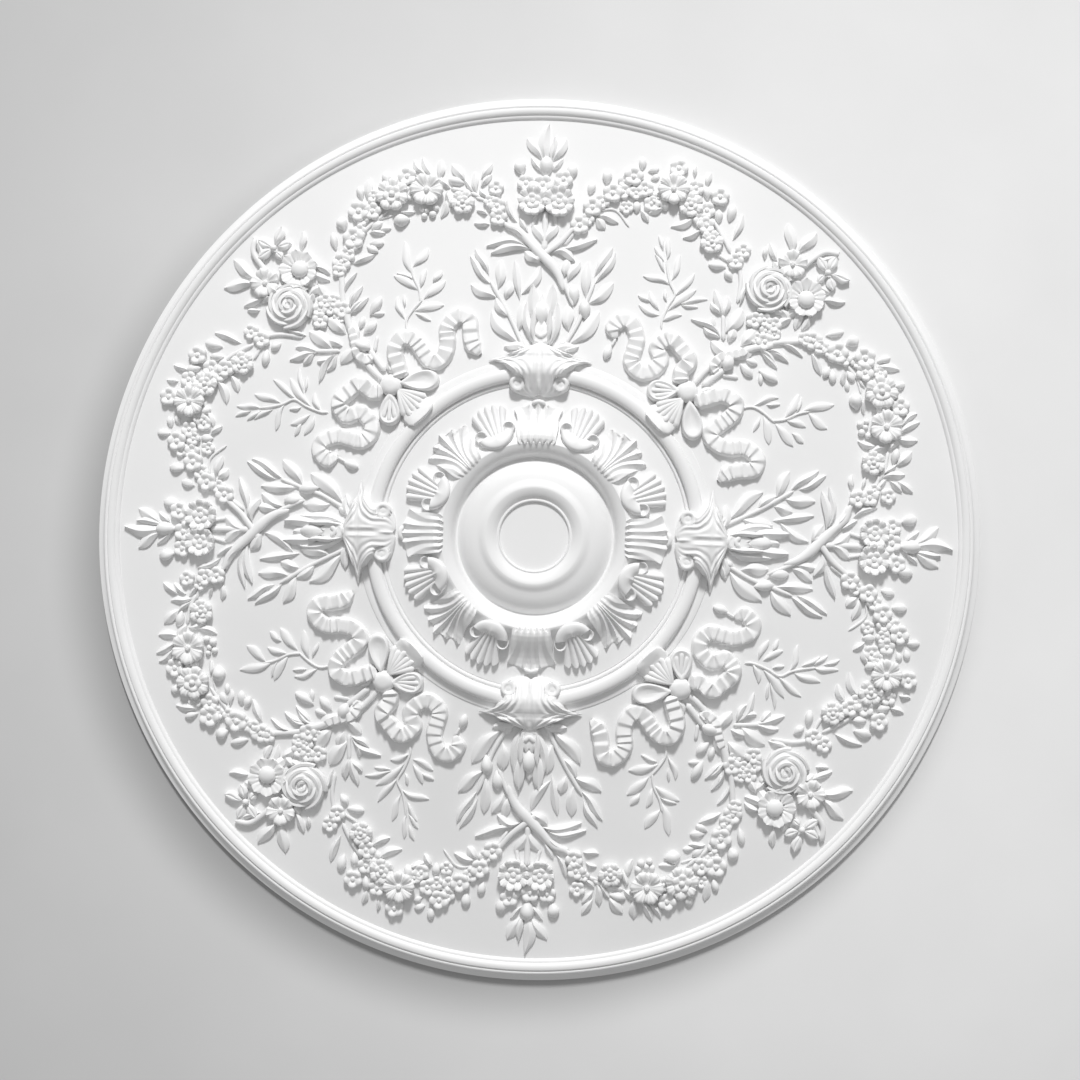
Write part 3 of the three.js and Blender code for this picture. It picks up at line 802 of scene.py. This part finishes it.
# Rows of the bracket from its crest to its foot: y, half width to the crest line of the scroll,
# half width of the foot, and the heights of the middle, the crest line and the foot
BRACKET_ROWS = [
    (203, 4, 5, 45, 45, 44), (200, 11, 13, 49, 48, 46), (196, 20, 22, 51.6, 50.5, 47),
    (192, 30, 33, 53.4, 51.5, 46.5), (189.5, 36, 37.5, 54, 46, 43.5), (187.4, 46, 47, 54.6, 43, 41.6),
    (185.4, 53.6, 54.4, 55.2, 41, 40.2), (183.4, 43, 44.6, 56.2, 46, 43.6),
    (180.4, 34.5, 37, 57.2, 52.6, 47.5), (176, 28, 34, 58, 57.6, 49.5), (173, 24.3, 30, 58.2, 58.2, 50.5),
    (170, 22.3, 27.6, 57.8, 57.6, 51), (167, 21.8, 27.6, 57, 56.2, 50.5),
    (164, 22, 30.4, 55.8, 54.4, 49.5), (160, 22, 31.2, 53.8, 52.4, 48), (156, 21, 30.4, 51.6, 50.6, 47),
    (153, 18, 27.5, 49.8, 48.8, 46), (150.5, 15, 23, 48.4, 47.6, 45), (148.5, 11, 17, 47.2, 46.6, 44.5),
    (147, 8, 11, 46.4, 46, 44),
]
# Points down and across the bracket, and how far out its crest lines lie
BRACKET_DOWN, BRACKET_ACROSS = 84, 101
CREST_AT = 0.74
BRACKET_BOTTOM = 147
# Steps down from the edge of the bracket: outwards, down
BRACKET_WALL = [(0.5, 2.4), (0.2, 40)]
# Flutes on each side of the bracket's leaf, how deep they are, and y where they begin and end
FLUTES, FLUTE_DEPTH = 3, 0.9
FLUTES_IN, FLUTES_OUT = (150, 160), (200, 194)
# Raised lines beside a furrow on the axis: distance from it, height and width; y where they begin
LINE_AT, LINE_HEIGHT, LINE_WIDTH = 4.4, 0.9, 1.5
FURROW_DEPTH, FURROW_WIDTH = 1.5, 2.2
LINES_IN = (162, 170)
# Bead along the outer slope of the scrolls, and y where it begins and ends
BEAD_AT, BEAD_HEIGHT, BEAD_WIDTH = 0.2, 1.2, 0.2
BEAD_IN, BEAD_OUT = (166, 170), (188, 180)
# Curls at the bracket's foot: x, y, radius; height of the curl's floor
VOLUTE_X, VOLUTE_Y, VOLUTE_RADIUS = 23, 160, 8.2
VOLUTE_FLOOR = 50.4
# Keel below the furrow
KEEL_HEIGHT, KEEL_WIDTH = 2, 1.6
KEEL_IN = (164, 156)
BRACKET_LEAF = (12, 196, 39, 200, 9, 0.12)
CREST_KNOB = (0, 198, 7)


def volute(x, y, z):
    """Heights with a round curl and a button put in on both sides."""
    across, down = np.abs(x) - VOLUTE_X, y - VOLUTE_Y
    part = np.hypot(across, down) / VOLUTE_RADIUS
    curl = 0.5 + 0.5 * np.sin(np.arctan2(down, across) + 0.6)
    roll = VOLUTE_FLOOR + (0.8 + 1.8 * curl) * dome((part - 0.72) / 0.28) + 0.7 * dome(part / 0.4)
    return np.where(part < 1, roll, z)


def bracket_top():
    """Top of the clasp over the ring: fluted leaf between two scrolls, the same on both sides."""
    table, _ = smooth_path(BRACKET_ROWS, BRACKET_DOWN)
    y, crest_x, edge_x, middle, crest, edge = [table[:, k : k + 1] for k in range(6)]
    s = np.linspace(-1, 1, BRACKET_ACROSS)[None, :]
    inner = part_way(np.abs(s), 0, CREST_AT)
    outer = part_way(np.abs(s), CREST_AT, 1)
    x = np.sign(s) * (inner * crest_x + outer * (edge_x - crest_x))
    z = middle + (crest - middle) * inner**2 + (edge - crest) * outer**1.2
    fluted = part_way(y, *FLUTES_IN) * part_way(y, *FLUTES_OUT)
    gather = part_way(inner, 0.2, 0.45) * (1 - inner**8)
    z = z - FLUTE_DEPTH * fluted * gather * np.cos(TAU * FLUTES * inner**1.5)
    lines = LINE_HEIGHT * ridge(np.abs(x) - LINE_AT, LINE_WIDTH) - FURROW_DEPTH * ridge(x, FURROW_WIDTH)
    z = z + fluted * part_way(y, *LINES_IN) * lines
    beaded = part_way(y, *BEAD_IN) * part_way(y, *BEAD_OUT)
    z = z + BEAD_HEIGHT * ridge(outer - BEAD_AT, BEAD_WIDTH) * beaded
    z = volute(x, y, z)
    z = z + KEEL_HEIGHT * ridge(x, KEEL_WIDTH) * part_way(y, *KEEL_IN)
    notch = ridge(y - BRACKET_BOTTOM, 4) * ridge(x, 3)
    return np.stack([x, y + 2.6 * notch, z], -1)


def bracket(form):
    columns = [bracket_top()]
    for reach, drop in BRACKET_WALL:
        for side in (-1, 1):
            wall = columns[0][:, :1].copy() if side < 0 else columns[-1][:, -1:].copy()
            wall[..., 0] += side * reach
            wall[..., 2] = np.maximum(wall[..., 2] - drop, CROWN_FOOT)
            columns = [wall] + columns if side < 0 else columns + [wall]
    sheet = np.concatenate(columns, axis=1)
    form.add(np.concatenate([sheet, lowered(sheet[-1:])]))
    for side in (-1, 1):
        leaf(form, *on_side(side, *BRACKET_LEAF), relief=5, lift=1)
    bloom(form, *CREST_KNOB, CREST_SECTION, 5)


# Leaves of the crown. Outline: y, half width. Folds: x at the root, x and y at the tip
AXIS_OUTLINE = [
    (96, 18), (99, 20.5), (104, 21), (110, 22), (116, 22.5), (122, 22), (128, 23.5), (132.5, 26),
    (134.5, 23), (137, 14), (140, 8), (143, 2),
]
AXIS_FOLDS = [(0, 0, 143), (7, 10, 139), (13, 26.5, 133.5)]
# Curled tip of the leaf on an axis
AXIS_CURL = [(-8, 138.5, 3), (-4, 141, 4.8), (0, 142, 5.2), (4, 141, 4.8), (8, 138.5, 3)]
DIAGONAL_OUTLINE = [
    (96, 15), (99, 17.5), (104, 19), (110, 20), (116, 21), (122, 22.5), (127, 25), (131, 27.5),
    (135, 29), (136.5, 25), (137.5, 18), (139, 15.5), (141.5, 15), (142.5, 7), (146.5, 1),
]
DIAGONAL_FOLDS = [(0, 0, 147), (2, 13, 141.5), (5, 26, 137), (11, 29, 124)]
# Height of the leaves of the crown above the back, by distance from the middle
CROWN_RADII = [96, 98, 101, 105, 110, 116, 122, 128, 134, 140, 146]
CROWN_HEIGHTS = [60.8, 62.4, 63.2, 62.8, 60.8, 57.6, 54.2, 51.4, 49.8, 49.2, 49]
CROWN_ROWS, CROWN_COLUMNS = 64, 73
# Distance from the middle where the hollows are deepest, and the part of a hollow before its floor
HOLLOW_FULL, HOLLOW_FLOOR = 134, 0.45
# Teeth along the dish, and the y between which they rise and between which they cut the edge
TEETH = 6
TEETH_RISE, TEETH_CUT = (118, 98), (103, 96)


def crown_leaf(form, turn, outline, folds, depth, hollow_from, tooth):
    """Broad leaf with pointed lobes, hollows between their folds and a toothed edge at the dish."""
    table = np.array(outline, float)
    start, end = table[0, 0], table[-1, 0]
    y = np.linspace(start, end, CROWN_ROWS)[:, None]
    half = np.interp(y, table[:, 0], table[:, 1])
    s = np.linspace(-1, 1, CROWN_COLUMNS)[None, :]
    x = s * half
    y = y + 0 * s
    z = np.interp(np.hypot(x, y), CROWN_RADII, CROWN_HEIGHTS) - 1.4 * np.abs(s) ** 4
    folds_at = []
    for root, tip_x, tip_y in folds:
        along = np.clip((y - start) / (tip_y - start), 0, 1.2)
        folds_at.append(root + (tip_x - root) * along**2.4)
    sink = part_way(y, hollow_from, HOLLOW_FULL) ** 1.1
    for inner, outer in zip(folds_at[:-1], folds_at[1:]):
        u = part_way(np.abs(x), inner, outer)
        hollow = np.where(u < HOLLOW_FLOOR, u / HOLLOW_FLOOR, (1 - u) / (1 - HOLLOW_FLOOR))
        z = z - depth * sink * hollow**0.8
    near = part_way(y, *TEETH_RISE) ** 1.3
    saw = np.abs((TEETH * (s + 1) / 2) % 1 - 0.5) * 2
    z = z + tooth * near * (saw - 0.5)
    y = y - 1.2 * tooth * part_way(y, *TEETH_CUT) * (saw - 0.6)
    z[:, [0, -1]] = CROWN_FOOT
    rows = np.stack([x, y, z], -1)
    form.add(np.concatenate([lowered(rows[:1]), rows, lowered(rows[-1:])]), flip=True, turn=turn)


SHELL_RIBS, RIB_DEPTH = 5, 4.4
SHELL_ROWS, RIB_COLUMNS = 24, 8
# A shell's distance from the middle at its root, its length, its half width at the root and how much
# that grows, and how far the corners of its outer edge lie behind its middle
SHELL_ROOT, SHELL_LENGTH = 104, 42
SHELL_NECK, SHELL_GROWTH = 6.5, 13.5
SHELL_BEND = 7.5
SHELL_RADII = [102, 108, 114, 122, 130, 138, 148]
SHELL_HEIGHTS = [59, 58.6, 57, 53.6, 51, 49, 47]
# A hood: its centre's distance from the middle, radius, height of its crest, sweep to each side in
# degrees, and how far the crest has fallen at HOOD_END, in radians
HOOD_MIDDLE, HOOD_RADIUS, HOOD_CREST = 116.5, 18.4, 64.6
HOOD_SWEEP, HOOD_FALL, HOOD_END = 76, 4.6, 1.33
HOOD_ROWS = 33
# Section of the hood from the hollow over its crest to the dish side: part of the radius, drop. The
# drop is full from HOOD_FRONT on
HOOD_SECTION = [
    (0.2, 14), (0.34, 9), (0.4, 5.6), (0.48, 3.4), (0.6, 1.5), (0.74, 0.3), (0.86, 0), (0.95, 0.5),
    (1.01, 1.8), (1.05, 4.4), (1.06, 20),
]
HOOD_FRONT, HOOD_DEEPEST = 0.9, 22
# Hollow curls at both ends of a hood: x, y, radius; section from the middle: part of the radius, height
EYE_X, EYE_Y, EYE_RADIUS = 15.2, 116, 6
EYE_SECTION = [(0, 50.6), (0.4, 51), (0.68, 52.8), (0.86, 54.6), (1, 54.9), (1.12, 53.4), (1.16, 40)]
EYE_COLUMNS = 28


def shell(form, turn):
    """Ribbed shell that opens outwards."""
    t = np.linspace(0, 1, SHELL_ROWS)[:, None]
    s = np.linspace(-1, 1, RIB_COLUMNS * SHELL_RIBS + 1)[None, :]
    wave = np.abs(np.cos(math.pi * SHELL_RIBS / 2 * s)) ** 0.7
    half = SHELL_NECK + SHELL_GROWTH * t
    reach = SHELL_LENGTH - SHELL_BEND * s**2 + RIB_DEPTH * (wave - 1) * t
    x, y = s * half, SHELL_ROOT + reach * t
    z = np.interp(y, SHELL_RADII, SHELL_HEIGHTS)
    z = z + RIB_DEPTH * (wave - 0.7) * (0.3 + 0.7 * t) - 1.4 * s**2
    z[:, [0, -1]] = CROWN_FOOT
    rows = np.stack([x, y, z], -1)
    form.add(np.concatenate([rows, lowered(rows[-1:])]), flip=True, turn=turn)


def hood(form, turn):
    """Curled edge round the root of a shell, hollow on the shell's side."""
    a = np.radians(np.linspace(-HOOD_SWEEP, HOOD_SWEEP, HOOD_ROWS))[:, None]
    part, drop = np.array(HOOD_SECTION).T[:, None, :]
    aside = np.abs(a) / HOOD_END
    crest = HOOD_CREST - HOOD_FALL * aside**2
    hollow = 0.3 + 0.5 * aside
    radius = HOOD_RADIUS * (1 + 0.1 * (np.abs(a) / 2.2) ** 2)
    x = radius * part * np.sin(a)
    y = HOOD_MIDDLE - radius * part * np.cos(a)
    z = crest - np.minimum(HOOD_DEEPEST, drop * np.where(part < HOOD_FRONT, hollow, 1))
    form.add(np.stack([x, y, z], -1), turn=turn)


def eye(form, side, turn):
    """Hollow curl at the end of a hood."""
    rows = []
    for part, height in EYE_SECTION:
        rows.append(level_circle(side * EYE_X, EYE_Y, EYE_RADIUS * part, height, EYE_COLUMNS))
    form.add(rows, ring=True, turn=turn)


def crown(form):
    crown_leaf(form, 0, AXIS_OUTLINE, AXIS_FOLDS, depth=5, hollow_from=104, tooth=2.8)
    rib(form, AXIS_CURL, 4.4, thickness=0.9)
    crown_leaf(form, EIGHTH_TURN, DIAGONAL_OUTLINE, DIAGONAL_FOLDS, depth=7, hollow_from=97, tooth=0.9)
    for turn in (EIGHTH_TURN * 0.5, EIGHTH_TURN * 1.5):
        shell(form, turn)
        hood(form, turn)
        for side in (-1, 1):
            eye(form, side, turn)


def ring_section():
    """Section of the ring moulding between its inner and outer foot."""
    section = []
    for a in np.linspace(math.pi, 0, RING_POINTS + 2)[1:-1]:
        rise = RING_FLATNESS * RING_TUBE * math.sin(a) ** RING_SHOULDER
        section.append((RING_RADIUS + RING_TUBE * math.cos(a), RING_HEIGHT + rise))
    return section


def disc(form):
    inside = RECESS_PROFILE + LIP_PROFILE + BOSS_PROFILE + DISH_PROFILE + CROWN_PROFILE
    ring = RING_INNER_PROFILE + ring_section() + RING_OUTER_PROFILE
    profile = inside + ring + FIELD_PROFILE + RIM_PROFILE
    form.add([level_circle(0, 0, radius, height, DISC_COLUMNS) for radius, height in profile], ring=True)


# The photograph's up and right in the model's frame: the ornament is turned clockwise in it
ROLL = math.radians(1.6)
RIGHT = Vector((math.cos(ROLL), math.sin(ROLL), 0))
UP = Vector((-math.sin(ROLL), math.cos(ROLL), 0))


def in_photo(right, up, height):
    """Point in metres from distances in millimetres along the photograph's directions."""
    return (RIGHT * right + UP * up + Vector((0, 0, height))) * MM


def new_material(name):
    """Material with its nodes, its links and its shader."""
    material = bpy.data.materials.new(name)
    material.use_nodes = True
    tree = material.node_tree
    return material, tree.nodes, tree.links, tree.nodes["Principled BSDF"]


def noise(nodes, links, place, scale, detail):
    """Soft noise, from 0 to 1, in the piece's own coordinates."""
    texture = nodes.new("ShaderNodeTexNoise")
    texture.inputs["Scale"].default_value = scale
    texture.inputs["Detail"].default_value = detail
    links.new(place.outputs["Object"], texture.inputs["Vector"])
    return texture.outputs["Fac"]


def greys(nodes, links, value, darker, lighter):
    """Grey between two tones, for a noise that seldom leaves 0.3 to 0.7."""
    tint = nodes.new("ShaderNodeValToRGB")
    first, last = tint.color_ramp.elements
    first.position, last.position = 0.3, 0.7
    first.color = (darker, darker, darker, 1)
    last.color = (lighter, lighter, lighter, 1)
    links.new(value, tint.inputs["Fac"])
    return tint.outputs["Color"]


def map_range(nodes, low, high, start=0, end=1):
    """Node that turns a value from start to end into one from low to high."""
    node = nodes.new("ShaderNodeMapRange")
    for name, value in zip(("From Min", "From Max", "To Min", "To Max"), (start, end, low, high)):
        node.inputs[name].default_value = value
    return node


def white_finish():
    """Matt white primer: nearly even, with faint clouds and a fine grain."""
    material, nodes, links, shader = new_material("plaster")
    shader.inputs["Specular IOR Level"].default_value = 0.35
    place = nodes.new("ShaderNodeTexCoord")
    clouds = noise(nodes, links, place, scale=9, detail=4)
    links.new(greys(nodes, links, clouds, 0.84, 0.87), shader.inputs["Base Color"])
    sheen = map_range(nodes, 0.5, 0.62)
    links.new(clouds, sheen.inputs["Value"])
    links.new(sheen.outputs["Result"], shader.inputs["Roughness"])
    bump = nodes.new("ShaderNodeBump")
    bump.inputs["Strength"].default_value = 0.12
    bump.inputs["Distance"].default_value = 0.0002
    links.new(noise(nodes, links, place, scale=900, detail=3), bump.inputs["Height"])
    links.new(bump.outputs["Normal"], shader.inputs["Normal"])
    return material


# Painted shade on the wall: a painted shadow round the rose, offset towards its lower left, and painted
# light falloff that darkens the wall away from a lit middle on the right. Columns: middle, two distances
# from it, and the part of the wall's tone that is left at each
WALL_PAINTED_SHADES = [(in_photo(-22, -26, 0), 440, 516, 0.6, 1), (in_photo(480, 40, 0), 300, 1500, 1, 0.6)]


def wall_with_painted_shade():
    """Pale painted wall with faint clouds, a painted shadow close to the rose and painted light falloff
    that darkens it to the left.
    """
    material, nodes, links, shader = new_material("pale_wall_painted_shade")
    shader.inputs["Roughness"].default_value = 0.8
    place = nodes.new("ShaderNodeTexCoord")
    clouds = noise(nodes, links, place, scale=5, detail=8)
    colour = greys(nodes, links, clouds, 0.82, 0.86)
    # Multiply the wall's tone by each painted shade: the painted shadow round the rose, then the painted
    # light falloff to the left
    for middle, near, far, left_near, left_far in WALL_PAINTED_SHADES:
        distance = nodes.new("ShaderNodeVectorMath")
        distance.operation = "DISTANCE"
        distance.inputs[1].default_value = middle
        painted_shade_node = map_range(nodes, left_near, left_far, near * MM, far * MM)
        painted_shade_node.interpolation_type = "SMOOTHSTEP"
        blend = nodes.new("ShaderNodeMix")
        blend.data_type = "RGBA"
        blend.blend_type = "MULTIPLY"
        blend.inputs["Factor"].default_value = 1
        links.new(place.outputs["Object"], distance.inputs[0])
        links.new(distance.outputs["Value"], painted_shade_node.inputs["Value"])
        links.new(colour, blend.inputs["A"])
        links.new(painted_shade_node.outputs["Result"], blend.inputs["B"])
        colour = blend.outputs["Result"]
    links.new(colour, shader.inputs["Base Color"])
    return material


# Pieces. Edges sharper than these angles stay sharp in the shading
plaster = white_finish()
SHARP_ANGLE = math.radians(50)
DISC_SHARP_ANGLE = math.radians(28)


def in_scene(name, data):
    thing = bpy.data.objects.new(name, data)
    bpy.context.scene.collection.objects.link(thing)
    return thing


def make_piece(name, form, sharp=SHARP_ANGLE):
    points = np.concatenate(form.points) * MM
    faces = np.concatenate(form.faces)
    mesh = bpy.data.meshes.new(name)
    mesh.from_pydata(points.tolist(), [], faces.tolist())
    mesh.validate()
    mesh.polygons.foreach_set("use_smooth", np.ones(len(mesh.polygons), bool))
    mesh.set_sharp_from_angle(angle=sharp)
    mesh.materials.append(plaster)
    piece = in_scene(name, mesh)
    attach(piece, "root")
    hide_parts("ceiling_rose")


def four_times(build):
    """The ornament of one quarter, turned to all four."""
    quarter = Form()
    build(quarter)
    whole = Form()
    for k in range(QUARTERS):
        whole.points += [turned(p, QUARTER_TURN * k) for p in quarter.points]
        whole.faces += [f + quarter.size * k for f in quarter.faces]
    return whole


whole_disc = Form()
disc(whole_disc)
make_piece("rose_disc", whole_disc, DISC_SHARP_ANGLE)
for name, build in [
    ("rose_crown", crown), ("rose_brackets", bracket), ("rose_laurels", laurels),
    ("rose_crossings", crossing), ("rose_axis_bouquets", small_bouquet), ("rose_sprigs", sprigs),
    ("rose_bows", bows), ("rose_ties", tie), ("rose_bouquets", diagonal_bouquet),
    ("rose_upper_garlands", upper_garland), ("rose_right_garlands", right_garland),
]:
    make_piece(name, four_times(build))

# The wall lies just behind the rose's back. Metres
WALL_HALF, WALL_HEIGHT = 4.0, -0.0005
corner_signs = ((-1, -1), (1, -1), (1, 1), (-1, 1))
wall_corners = [(x * WALL_HALF, y * WALL_HALF, WALL_HEIGHT) for x, y in corner_signs]
wall_mesh = bpy.data.meshes.new("wall")
wall_mesh.from_pydata(wall_corners, [], [(0, 1, 2, 3)])
wall_mesh.materials.append(wall_with_painted_shade())
wall = in_scene("wall", wall_mesh)

# Key light, far above the photograph's top edge and in front: size in metres, power in watts
KEY_PLACE = in_photo(630, 7700, 6034)
KEY_SIZE, KEY_POWER = 1.54, 835
key = bpy.data.lights.new("key", "AREA")
key.shape = "DISK"
key.size = KEY_SIZE
key.energy = KEY_POWER
lamp = in_scene("key", key)
lamp.location = KEY_PLACE
lamp.rotation_mode = "QUATERNION"
lamp.rotation_quaternion = (-KEY_PLACE).to_track_quat("-Z", "Y")

# White surroundings, brighter towards the photograph's top
WORLD_BELOW, WORLD_ABOVE = 0.28, 0.48
world = bpy.data.worlds.new("studio")
world.use_nodes = True
nodes, links = world.node_tree.nodes, world.node_tree.links
background = nodes["Background"]
background.inputs["Color"].default_value = (1, 1, 1, 1)
direction = nodes.new("ShaderNodeTexCoord")
upward = nodes.new("ShaderNodeVectorMath")
upward.operation = "DOT_PRODUCT"
upward.inputs[1].default_value = UP
brightness = map_range(nodes, WORLD_BELOW, WORLD_ABOVE, -1, 1)
links.new(direction.outputs["Generated"], upward.inputs[0])
links.new(upward.outputs["Value"], brightness.inputs["Value"])
links.new(brightness.outputs["Result"], background.inputs["Strength"])
bpy.context.scene.world = world
bpy.context.scene.view_settings.view_transform = "Standard"

# Camera: almost square on, its shift only brings CENTRE to the middle of the frame
SENSOR, FOCAL = 36, 49.5
CAMERA = in_photo(103, -74, 1603)
AIM = in_photo(80, -58, 3)
CENTRE = in_photo(2.6, -1.7, 3)
camera_data = bpy.data.cameras.new("camera")
camera = in_scene("camera", camera_data)
bpy.context.scene.camera = camera
back = (CAMERA - AIM).normalized()
right = (RIGHT - back * RIGHT.dot(back)).normalized()
up = back.cross(right)
basis = Matrix((right, up, back)).transposed()
camera.matrix_world = Matrix.Translation(CAMERA) @ basis.to_4x4()
camera_data.sensor_width = SENSOR
camera_data.lens = FOCAL
offset = CENTRE - CAMERA
depth = -offset.dot(back)
camera_data.shift_x = offset.dot(right) / depth * FOCAL / SENSOR
camera_data.shift_y = offset.dot(up) / depth * FOCAL / SENSOR
